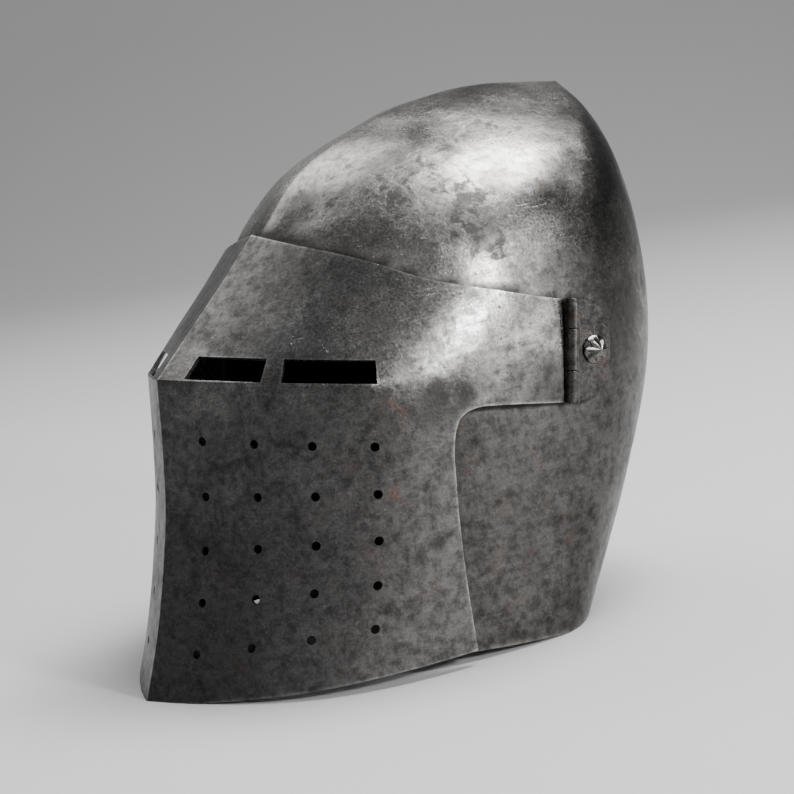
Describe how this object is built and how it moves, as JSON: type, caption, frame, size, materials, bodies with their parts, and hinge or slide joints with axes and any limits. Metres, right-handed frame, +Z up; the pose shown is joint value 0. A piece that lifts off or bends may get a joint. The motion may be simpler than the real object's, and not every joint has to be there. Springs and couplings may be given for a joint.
{
  "type": "visored bascinet helmet",
  "caption": "Steel helmet with a pointed skull and a perforated face visor that lifts on pivots at its sides.",
  "frame": {"origin": "on the surface that the helmet stands on, under the middle of its bounding box", "axes": "+Z up, -Y the way the face looks, +X to the wearer's left; the helmet leans back 10 degrees, standing on its chin and nape"},
  "size_m": [0.228, 0.2932, 0.2546],
  "materials": {
    "skull_steel": "hammered and polished plate, mottled with old grey patina, light pitting and fine scratches",
    "visor_steel": "polished plate gone dull and grey, with darker clouds, pits and a few rust spots",
    "hinge_steel": "dark browned iron with bright rubbed edges",
    "rivet_steel": "filed domed heads, dark in the flutes and bright on the ribs"
  },
  "bodies": {
    "skull_body": {"skull": "skull_steel", "pivot_rivet_left": "rivet_steel", "pivot_rivet_right": "rivet_steel"},
    "visor_body": {"visor": "visor_steel", "hinge_leaf_left": "hinge_steel", "hinge_leaf_right": "hinge_steel", "hinge_pin_left": "hinge_steel", "hinge_pin_right": "hinge_steel"}
  },
  "joints": [
    {"name": "visor_lift", "type": "hinge", "parent": "skull_body", "child": "visor_body", "pos_m": [0, 0.05698, 0.13011], "axis": [-1, 0, 0], "range_deg": [0, 68]}
  ]
}
